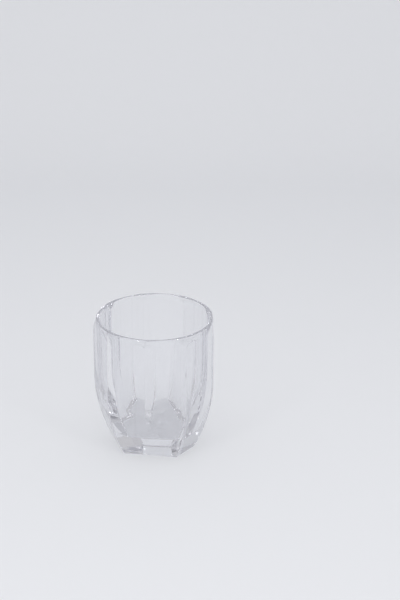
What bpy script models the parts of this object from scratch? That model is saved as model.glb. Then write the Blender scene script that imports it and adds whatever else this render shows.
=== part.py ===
"""Faceted drinking tumbler: one moulded piece of clear glass.

The wall has nine upright facets under a round lip. Below the shoulder the
facets draw in and join two by two, so the foot has three wide sides and
three narrow ones. The cup inside is round at the lip and takes the shape of
the foot at its floor, turned a little against the outside. Metres, +Z up,
origin at the centre of the foot.
"""
import math

import bmesh
import bpy

# Overall sizes
height = 0.1025
lip_radius = 0.0422
lip_wall = 0.0022
foot_radius = 0.0300
foot_chamfer = 0.0008
floor_height = 0.0160
floor_corner_radius = 0.0275

# Facets
facet_count = 9
facet_span = 2 * math.pi / facet_count
steps_per_facet = 6
front_ridge = -math.pi / 2

# Steps by which the cup is turned against the outside
cup_turn_steps = 1

# Outer ridge radius against height: foot, shoulder, lip
outer_ridge = (
    (0.000, foot_radius),
    (0.004, 0.0321),
    (0.008, 0.0340),
    (0.014, 0.0365),
    (0.022, 0.0392),
    (0.030, 0.0415),
    (0.038, 0.0432),
    (0.046, 0.0443),
    (0.056, 0.0447),
    (0.080, 0.0448),
    (0.102, 0.0450),
)

# Round limit of the body under the lip, which ends every facet in an arch
lip_shoulder = (
    (0.084, 0.0460),
    (0.090, 0.0450),
    (0.094, 0.0443),
    (0.098, 0.0434),
    (0.100, 0.0424),
    (0.1005, lip_radius),
)

# Inner ridge radius against height: floor, bend, bore
inner_ridge = (
    (floor_height, floor_corner_radius),
    (0.018, 0.0293),
    (0.022, 0.0316),
    (0.030, 0.0352),
    (0.038, 0.0378),
    (0.046, 0.0392),
    (0.056, 0.0397),
    (0.1025, lip_radius - lip_wall),
)

# Heights between which two facets part from the wide side below them
join_low = 0.010
join_high = 0.054

# Heights between which the cup turns from six sides to round
round_low = 0.042
round_high = 0.066

outer_levels = (0.004, 0.008, 0.014, 0.020, 0.026, 0.032, 0.038, 0.045, 0.054,
                0.080, 0.088, 0.092, 0.095, 0.098, 0.1005)
inner_levels = (0.098, 0.070, 0.064, 0.058, 0.052, 0.046, 0.040, 0.034, 0.028,
                0.023, 0.020, 0.0175)
lip_steps = 5


def read_curve(points, z):
    """Value of a piecewise straight curve at height z."""
    if z <= points[0][0]:
        return points[0][1]
    for (z_low, v_low), (z_high, v_high) in zip(points, points[1:]):
        if z <= z_high:
            return v_low + (v_high - v_low) * (z - z_low) / (z_high - z_low)
    return points[-1][1]


def ease(low, high, z):
    """Smooth step from 0 at low to 1 at high."""
    t = min(max((z - low) / (high - low), 0.0), 1.0)
    return t * t * (3 - 2 * t)


def ridge_radii(corner, z):
    """Radius of the nine ridges: every third one fades out towards the foot."""
    flat = math.cos(facet_span)
    spread = ease(join_low, join_high, z)
    middle = corner * (flat + (1 - flat) * spread)
    return [middle if i % 3 == 0 else corner for i in range(facet_count)]


def facet_radius(radii, step):
    """Radius of the straight-sided ring at one of its points."""
    i, j = divmod(step, steps_per_facet)
    r_here = radii[i % facet_count]
    r_next = radii[(i + 1) % facet_count]
    angle = facet_span * j / steps_per_facet
    turn = r_here * math.sin(angle) + r_next * math.sin(facet_span - angle)
    return r_here * r_next * math.sin(facet_span) / turn


def ring_radii(points, z):
    radii = ridge_radii(read_curve(points, z), z)
    return [facet_radius(radii, step) for step in range(facet_count * steps_per_facet)]


def outer_ring(z):
    limit = read_curve(lip_shoulder, z)
    return [min(r, limit) for r in ring_radii(outer_ridge, z)]


def inner_ring(z):
    bore = read_curve(inner_ridge, z)
    share = ease(round_low, round_high, z)
    radii = ring_radii(inner_ridge, z)
    turned = radii[-cup_turn_steps:] + radii[:-cup_turn_steps]
    return [r + (bore - r) * share for r in turned]


def add_ring(bm, radii, z):
    verts = []
    for step, r in enumerate(radii):
        angle = front_ridge + facet_span * step / steps_per_facet
        verts.append(bm.verts.new((r * math.cos(angle), r * math.sin(angle), z)))
    return verts


def bridge(bm, lower, upper):
    """Quads between two rings, facing outwards."""
    count = len(lower)
    for i in range(count):
        j = (i + 1) % count
        bm.faces.new((lower[i], lower[j], upper[j], upper[i]))


def glass_rings():
    """Rings from the underside, up the outside, over the lip and down to the floor."""
    foot = outer_ring(0.0)
    shrink = 1 - foot_chamfer / foot_radius
    rings = [([r * shrink for r in foot], 0.0)]
    rings.append((outer_ring(foot_chamfer), foot_chamfer))
    rings += [(outer_ring(z), z) for z in outer_levels]
    lip_drop = height - outer_levels[-1]
    outside = outer_ring(outer_levels[-1])
    inside = inner_ring(outer_levels[-1])
    for step in range(1, lip_steps + 1):
        angle = math.pi * step / (lip_steps + 1)
        share = (1 - math.cos(angle)) / 2
        radii = [a + (b - a) * share for a, b in zip(outside, inside)]
        rings.append((radii, outer_levels[-1] + lip_drop * math.sin(angle)))
    rings.append((inside, outer_levels[-1]))
    rings += [(inner_ring(z), z) for z in inner_levels]
    rings.append((inner_ring(floor_height), floor_height))
    return rings


def make_material(name, colour, roughness, metallic):
    material = bpy.data.materials.new(name)
    material.use_nodes = True
    shader = material.node_tree.nodes["Principled BSDF"]
    shader.inputs["Base Color"].default_value = (*colour, 1.0)
    shader.inputs["Roughness"].default_value = roughness
    shader.inputs["Metallic"].default_value = metallic
    return material


def make_glass():
    bm = bmesh.new()
    rings = [add_ring(bm, radii, z) for radii, z in glass_rings()]
    for lower, upper in zip(rings, rings[1:]):
        bridge(bm, lower, upper)
    bm.faces.new(reversed(rings[0]))
    bm.faces.new(rings[-1])
    bmesh.ops.triangulate(bm, faces=[f for f in bm.faces if len(f.verts) > 4])
    bmesh.ops.recalc_face_normals(bm, faces=bm.faces)
    mesh = bpy.data.meshes.new("glass_body")
    bm.to_mesh(mesh)
    bm.free()
    mesh.shade_smooth()
    mesh.set_sharp_from_angle(angle=math.radians(12))
    glass = bpy.data.objects.new("glass_body", mesh)
    bpy.context.scene.collection.objects.link(glass)
    mesh.materials.append(make_material("clear_glass", (0.86, 0.87, 0.91), 0.03, 0.0))
    return glass


for old in list(bpy.data.objects):
    bpy.data.objects.remove(old, do_unlink=True)

make_glass()
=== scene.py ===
import math

import bmesh
import bpy
import numpy as np
from mathutils import Matrix, Vector


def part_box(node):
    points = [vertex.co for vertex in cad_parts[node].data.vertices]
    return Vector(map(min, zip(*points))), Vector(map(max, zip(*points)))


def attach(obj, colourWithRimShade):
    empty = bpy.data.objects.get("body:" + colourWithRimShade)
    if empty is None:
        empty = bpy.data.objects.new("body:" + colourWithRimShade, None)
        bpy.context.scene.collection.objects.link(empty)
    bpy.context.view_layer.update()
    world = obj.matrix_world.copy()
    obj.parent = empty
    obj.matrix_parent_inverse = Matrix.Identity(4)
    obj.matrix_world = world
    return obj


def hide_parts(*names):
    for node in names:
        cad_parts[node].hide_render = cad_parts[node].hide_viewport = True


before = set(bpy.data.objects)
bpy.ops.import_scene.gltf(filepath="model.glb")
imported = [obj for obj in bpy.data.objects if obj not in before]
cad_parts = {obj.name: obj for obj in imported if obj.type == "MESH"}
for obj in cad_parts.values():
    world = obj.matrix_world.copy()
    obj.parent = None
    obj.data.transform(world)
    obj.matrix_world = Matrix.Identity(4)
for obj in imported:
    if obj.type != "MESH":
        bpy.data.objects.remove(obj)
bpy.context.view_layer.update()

scene = bpy.context.scene
footLow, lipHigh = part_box("glass_body")
fullHeight = lipHigh.z - footLow.z
print("frame loaded, height", round(fullHeight, 4))

# radii and heights in millimetres for a glass 102.5 high, scaled to the frame's height
glassShape = {
    "drawnHeight": 102.5,
    "facets": 9,
    "frontRidge": -90.0,        # degrees, a ridge over the middle of a wide side of the foot
    "stepsPerFacet": 44,
    "crowding": 0.7,            # how far the steps are drawn towards the ridges
    # pairs of height and radius, or of height and share
    "outerRidge": ((0, 30.0), (4, 32.2), (8, 34.0), (14, 36.5), (22, 39.2), (30, 41.5),
                   (38, 43.2), (46, 44.3), (56, 44.7), (80, 44.75), (102.5, 44.75)),
    "outerSpread": ((0, 0), (12, 0.03), (30, 0.4), (46, 0.92), (54, 1), (102.5, 1)),
    "outerEdge": 0.25,          # rounding of the ridges outside
    "lipLimit": ((0, 60), (80, 60), (86, 46.5), (92, 45.2), (96, 44.2), (99.5, 43.0), (102.5, 42.2)),
    "lipEdge": 1.2,             # rounding where the facets run out under the lip
    "innerRidge": ((16, 27.5), (18, 28.6), (22, 30.6), (30, 34.2), (38, 37.2), (46, 39.0),
                   (56, 39.8), (102.5, 40.2)),
    "innerSpread": ((16, 0), (30, 0.4), (46, 0.92), (54, 1), (102.5, 1)),
    "innerEdge": 0.5,           # rounding of the ridges inside
    "innerTurn": 6.67,          # degrees between the ridges inside and outside
    "roundShare": ((16, 0), (40, 0), (60, 0.9), (70, 1), (102.5, 1)),
    "floorRadius": 1.5,         # bend where the floor meets the wall
    "footRadius": 0.8,
    "lipRadius": 1.1,
    "wallStep": 1.0,            # height between rings
    "fineFrom": 90.0,           # above this the outside has finer rings for the arches
    "fineStep": 0.4,
    "lipGap": 0.3,              # least height between the lip's last ring and the wall's first
    "capShares": (0.2, 0.4, 0.6, 0.8, 0.92),    # rings across the underside and the floor
    "footSteps": 6,
    "lipSteps": 16,
    "bendSteps": 8,
}


def readCurve(points, at):
    # smooth curve through the points that never overshoots them
    x = np.array([p[0] for p in points], float)
    y = np.array([p[1] for p in points], float)
    gap = np.diff(x)
    slope = np.diff(y) / gap
    tangent = np.zeros(len(x))
    tangent[0], tangent[-1] = slope[0], slope[-1]
    for i in range(1, len(x) - 1):
        if slope[i - 1] * slope[i] > 0:
            tangent[i] = 2 * slope[i - 1] * slope[i] / (slope[i - 1] + slope[i])
    at = min(max(at, x[0]), x[-1])
    i = min(max(int(np.searchsorted(x, at, side="right")) - 1, 0), len(x) - 2)
    t = (at - x[i]) / gap[i]
    return float((2 * t**3 - 3 * t**2 + 1) * y[i] + (t**3 - 2 * t**2 + t) * gap[i] * tangent[i]
                 + (3 * t**2 - 2 * t**3) * y[i + 1] + (t**3 - t**2) * gap[i] * tangent[i + 1])


def softMin(a, b, width):
    # the smaller of two radii, with the crease between them rounded
    share = np.clip(0.5 + 0.5 * (b - a) / width, 0, 1)
    return b * (1 - share) + a * share - width * share * (1 - share)


def facetAngles(shape):
    # steps round the glass, crowded at the ridges
    span = 2 * math.pi / shape["facets"]
    t = np.arange(shape["stepsPerFacet"]) / shape["stepsPerFacet"]
    t = t - shape["crowding"] * np.sin(2 * math.pi * t) / (2 * math.pi)
    return np.concatenate([span * (i + t) for i in range(shape["facets"])])


def facetRing(shape, angles, corner, spread, edge):
    # radius of the nine-sided ring; every third ridge sinks to a flat side as spread falls
    count = shape["facets"]
    span = 2 * math.pi / count
    middle = corner * (math.cos(span) * (1 - spread) + spread)
    ridges = [middle if i % 3 == 0 else corner for i in range(count)]
    home = np.minimum((angles / span + 1e-9).astype(int), count - 1)
    ring = None
    for offset in (0, -1, 1):
        here = (home + offset) % count
        low = np.array(ridges)[here]
        high = np.array(ridges)[(here + 1) % count]
        a = angles - span * (home + offset)
        turn = low * np.sin(a) + high * np.sin(span - a)
        side = low * high * math.sin(span) / np.maximum(turn, 1e-3)
        ring = side if ring is None else softMin(ring, side, edge)
    return ring


def outerRing(shape, angles, z):
    ring = facetRing(shape, angles, readCurve(shape["outerRidge"], z),
                     readCurve(shape["outerSpread"], z), shape["outerEdge"])
    return softMin(ring, readCurve(shape["lipLimit"], z), shape["lipEdge"])


def innerRing(shape, angles, z):
    bore = readCurve(shape["innerRidge"], z)
    turned = (angles - math.radians(shape["innerTurn"])) % (2 * math.pi)
    ring = facetRing(shape, turned, bore, readCurve(shape["innerSpread"], z), shape["innerEdge"])
    share = readCurve(shape["roundShare"], z)
    return ring * (1 - share) + bore * share


def evenSteps(start, end, steps):
    return [start + (end - start) * i / steps for i in range(steps + 1)]


def glassRings(shape, angles):
    # rings from the middle of the underside, up the outside, over the lip, down to the floor
    height = shape["drawnHeight"]
    foot, bend, lip = shape["footRadius"], shape["floorRadius"], shape["lipRadius"]
    floor = shape["innerRidge"][0][0]
    rings = []
    bottom = outerRing(shape, angles, 0)
    for share in shape["capShares"]:
        rings.append((bottom * share, 0.0))
    for turn in evenSteps(0, math.pi / 2, shape["footSteps"]):
        z = foot * (1 - math.cos(turn))
        rings.append((outerRing(shape, angles, z) - foot * (1 - math.sin(turn)), z))
    top = height - lip
    outside = list(np.arange(shape["wallStep"], shape["fineFrom"], shape["wallStep"]))
    outside += list(np.arange(shape["fineFrom"], top, shape["fineStep"]))
    rings += [(outerRing(shape, angles, z), z) for z in outside if foot < z < top]
    outer, inner = outerRing(shape, angles, top), innerRing(shape, angles, top)
    for turn in evenSteps(0, math.pi, shape["lipSteps"]):
        share = (1 - math.cos(turn)) / 2
        rings.append((outer + (inner - outer) * share, top + lip * math.sin(turn)))
    inside = np.arange(math.floor(top - shape["wallStep"]), floor + bend, -shape["wallStep"])
    rings += [(innerRing(shape, angles, z), z) for z in inside if z < top - shape["lipGap"]]
    for turn in evenSteps(0, math.pi / 2, shape["bendSteps"]):
        z = floor + bend * (1 - math.sin(turn))
        rings.append((innerRing(shape, angles, floor + bend) - bend * (1 - math.cos(turn)), z))
    flat = rings[-1][0]
    for share in reversed(shape["capShares"]):
        rings.append((flat * share, floor))
    return rings


def buildGlass(shape):
    # joins the rings into one closed skin with a fan of faces at each end
    angles = facetAngles(shape)
    rings = glassRings(shape, angles)
    unit = fullHeight / shape["drawnHeight"]
    turn = angles + math.radians(shape["frontRidge"])
    bm = bmesh.new()
    loops = []
    for radii, z in rings:
        loops.append([bm.verts.new((r * unit * math.cos(a), r * unit * math.sin(a), footLow.z + z * unit))
                      for r, a in zip(radii, turn)])
    for low, high in zip(loops, loops[1:]):
        for i in range(len(low)):
            j = (i + 1) % len(low)
            bm.faces.new((low[i], low[j], high[j], high[i]))
    for loop, z, flip in ((loops[0], rings[0][1], True), (loops[-1], rings[-1][1], False)):
        centre = bm.verts.new((0, 0, footLow.z + z * unit))
        for i in range(len(loop)):
            j = (i + 1) % len(loop)
            bm.faces.new((loop[j], loop[i], centre) if flip else (loop[i], loop[j], centre))
    bmesh.ops.recalc_face_normals(bm, faces=bm.faces)
    mesh = bpy.data.meshes.new("glassBody")
    bm.to_mesh(mesh)
    bm.free()
    mesh.shade_smooth()
    piece = bpy.data.objects.new("glassBody", mesh)
    scene.collection.objects.link(piece)
    return piece


glassFinish = {
    "colour": (0.985, 0.987, 0.995),
    "paintedRimShade": (0.35, 0.35, 0.42),    # painted shade, mixed in where the wall is seen edge on
    "rimShadeBlend": 0.12,
    "polish": (0.0, 0.02),              # roughness of the clearest and dullest patches
    "polishRange": (0.35, 0.75),        # part of the noise that spans them
    "ior": 1.5,
    "baseTint": (0.80, 0.80, 0.84),     # colour left after light has crossed a lot of glass
    "tintDensity": 6.5,                 # per metre
    "clearShadow": 0.99,                # how much lamp light passes one face of the glass
    "edgeShadow": 0.85,
    "shadowBlend": 0.5,
    "waveSize": 55.0,                   # noise scale of the soft waves left by the mould
    "waveDetail": 1.0,
    "waveHeight": 0.00004,
}


def glassMaterial(values):
    material = bpy.data.materials.new("pressedGlass")
    material.use_nodes = True
    nodes, links = material.node_tree.nodes, material.node_tree.links
    shader = nodes["Principled BSDF"]
    shader.inputs["IOR"].default_value = values["ior"]
    shader.inputs["Transmission Weight"].default_value = 1.0
    # painted shade: the glass colour turns darker where the wall is seen edge on, standing in for the
    # dark outlines that refraction gives
    rim = nodes.new("ShaderNodeLayerWeight")
    rim.inputs["Blend"].default_value = values["rimShadeBlend"]
    colourWithRimShade = nodes.new("ShaderNodeMix")
    colourWithRimShade.data_type = "RGBA"
    colourWithRimShade.inputs["A"].default_value = (*values["colour"], 1)
    colourWithRimShade.inputs["B"].default_value = (*values["paintedRimShade"], 1)
    links.new(rim.outputs["Facing"], colourWithRimShade.inputs["Factor"])
    links.new(colourWithRimShade.outputs["Result"], shader.inputs["Base Color"])
    place = nodes.new("ShaderNodeTexCoord")
    waves = nodes.new("ShaderNodeTexNoise")
    waves.inputs["Scale"].default_value = values["waveSize"]
    waves.inputs["Detail"].default_value = values["waveDetail"]
    bump = nodes.new("ShaderNodeBump")
    bump.inputs["Distance"].default_value = values["waveHeight"]
    bump.inputs["Strength"].default_value = 1.0
    links.new(place.outputs["Object"], waves.inputs["Vector"])
    # patches of slightly duller surface
    wear = nodes.new("ShaderNodeMapRange")
    wear.inputs["From Min"].default_value = values["polishRange"][0]
    wear.inputs["From Max"].default_value = values["polishRange"][1]
    wear.inputs["To Min"].default_value = values["polish"][0]
    wear.inputs["To Max"].default_value = values["polish"][1]
    links.new(waves.outputs["Fac"], wear.inputs["Value"])
    links.new(wear.outputs["Result"], shader.inputs["Roughness"])
    links.new(waves.outputs["Fac"], bump.inputs["Height"])
    links.new(bump.outputs["Normal"], shader.inputs["Normal"])
    # lamp light and the floor's scattered light pass straight through, less so where they graze the wall
    path = nodes.new("ShaderNodeLightPath")
    facing = nodes.new("ShaderNodeLayerWeight")
    facing.inputs["Blend"].default_value = values["shadowBlend"]
    shadow = nodes.new("ShaderNodeMix")
    shadow.data_type = "RGBA"
    shadow.inputs["A"].default_value = (*[values["clearShadow"]] * 3, 1)
    shadow.inputs["B"].default_value = (*[values["edgeShadow"]] * 3, 1)
    through = nodes.new("ShaderNodeBsdfTransparent")
    links.new(facing.outputs["Facing"], shadow.inputs["Factor"])
    links.new(shadow.outputs["Result"], through.inputs["Color"])
    surface = shader.outputs["BSDF"]
    for ray in ("Is Shadow Ray", "Is Diffuse Ray"):
        mix = nodes.new("ShaderNodeMixShader")
        links.new(path.outputs[ray], mix.inputs["Fac"])
        links.new(surface, mix.inputs[1])
        links.new(through.outputs["BSDF"], mix.inputs[2])
        surface = mix.outputs["Shader"]
    links.new(surface, nodes["Material Output"].inputs["Surface"])
    tint = nodes.new("ShaderNodeVolumeAbsorption")
    tint.inputs["Color"].default_value = (*values["baseTint"], 1)
    tint.inputs["Density"].default_value = values["tintDensity"]
    links.new(tint.outputs["Volume"], nodes["Material Output"].inputs["Volume"])
    return material


glassBody = buildGlass(glassShape)
glassBody.data.materials.append(glassMaterial(glassFinish))
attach(glassBody, "root")
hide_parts("glass_body")
print("glass built,", len(glassBody.data.polygons), "faces")

stage = {
    "drop": 0.0001,             # the floor lies this far under the foot
    "halfWidth": 2.0,
    "front": -2.5,
    "back": 0.9,
    "wallHeight": 1.5,
    "sweepRadius": 0.3,
    "sweepSteps": 12,
    "colour": (0.80, 0.81, 0.83),
    "roughness": 0.7,
    "specular": 0.2,
}
cameraPlace = {
    "turn": 7.7,                # degrees round the glass from the front ridge
    "side": 0.03255,
    "back": 0.9017,
    "up": 0.5073,
    "tilt": 23.5,
    "roll": 0.45,
    "lens": 82.14,
    "sensor": 36,
    "nearest": 0.01,
}
# a lamp that isn't seen lights the stage but leaves no reflection in the glass
lamps = (
    {"name": "topLamp", "at": (0.0, -0.5, 1.5), "size": 1.0, "power": 6.2, "seen": False},
    {"name": "leftLamp", "at": (-0.7, -0.9, 1.1), "size": 0.15, "power": 2.3, "seen": True},
    {"name": "rightLamp", "at": (0.8, -0.9, 1.1), "size": 0.15, "power": 2.3, "seen": True},
)
worldGrey = (0.62, 0.62, 0.635)
lightBounces = 32               # light has to find its way out of the thick base

viewTurn = Matrix.Rotation(math.radians(cameraPlace["turn"]), 4, "Z")


def sweepMaterial(values):
    material = bpy.data.materials.new("paleSweep")
    material.use_nodes = True
    shader = material.node_tree.nodes["Principled BSDF"]
    shader.inputs["Base Color"].default_value = (*values["colour"], 1)
    shader.inputs["Roughness"].default_value = values["roughness"]
    shader.inputs["Specular IOR Level"].default_value = values["specular"]
    return material


def buildSweep(values):
    # floor that bends up into the backdrop
    low = footLow.z - values["drop"]
    radius = values["sweepRadius"]
    line = [(values["front"], low)]
    for a in evenSteps(0, math.pi / 2, values["sweepSteps"]):
        line.append((values["back"] - radius + radius * math.sin(a), low + radius * (1 - math.cos(a))))
    line.append((values["back"], values["wallHeight"]))
    bm = bmesh.new()
    pairs = [[bm.verts.new((side * values["halfWidth"], y, z)) for side in (-1, 1)] for y, z in line]
    for a, b in zip(pairs, pairs[1:]):
        bm.faces.new((a[0], a[1], b[1], b[0]))
    bmesh.ops.transform(bm, matrix=viewTurn, verts=bm.verts)
    mesh = bpy.data.meshes.new("studioSweep")
    bm.to_mesh(mesh)
    bm.free()
    mesh.shade_smooth()
    sweep = bpy.data.objects.new("studioSweep", mesh)
    scene.collection.objects.link(sweep)
    mesh.materials.append(sweepMaterial(values))


def placeCamera(values):
    camera = bpy.data.objects.new("camera", bpy.data.cameras.new("camera"))
    scene.collection.objects.link(camera)
    place = Matrix.Translation((values["side"], -values["back"], values["up"]))
    aim = Matrix.Rotation(math.radians(90 - values["tilt"]), 4, "X")
    roll = Matrix.Rotation(math.radians(values["roll"]), 4, "Z")
    camera.matrix_world = viewTurn @ place @ aim @ roll
    camera.data.lens = values["lens"]
    camera.data.sensor_width = values["sensor"]
    camera.data.clip_start = values["nearest"]
    scene.camera = camera


def placeLamp(values):
    light = bpy.data.lights.new(values["name"], "AREA")
    light.energy = values["power"]
    light.size = values["size"]
    lamp = bpy.data.objects.new(values["name"], light)
    scene.collection.objects.link(lamp)
    place = Vector(values["at"])
    aim = (Vector((0, 0, fullHeight / 2)) - place).to_track_quat("-Z", "Y").to_matrix().to_4x4()
    lamp.matrix_world = viewTurn @ Matrix.Translation(place) @ aim
    lamp.visible_transmission = values["seen"]
    lamp.visible_glossy = values["seen"]


def makeWorld(colour):
    world = bpy.data.worlds.new("studio")
    world.use_nodes = True
    world.node_tree.nodes["Background"].inputs["Color"].default_value = (*colour, 1)
    scene.world = world


buildSweep(stage)
placeCamera(cameraPlace)
for lampPlace in lamps:
    placeLamp(lampPlace)
makeWorld(worldGrey)
scene.view_settings.view_transform = "Standard"
scene.cycles.max_bounces = lightBounces
scene.cycles.glossy_bounces = lightBounces
scene.cycles.transmission_bounces = lightBounces
scene.cycles.transparent_max_bounces = lightBounces
scene.cycles.caustics_refractive = False
scene.cycles.caustics_reflective = False
print("stage, camera and lamps set")
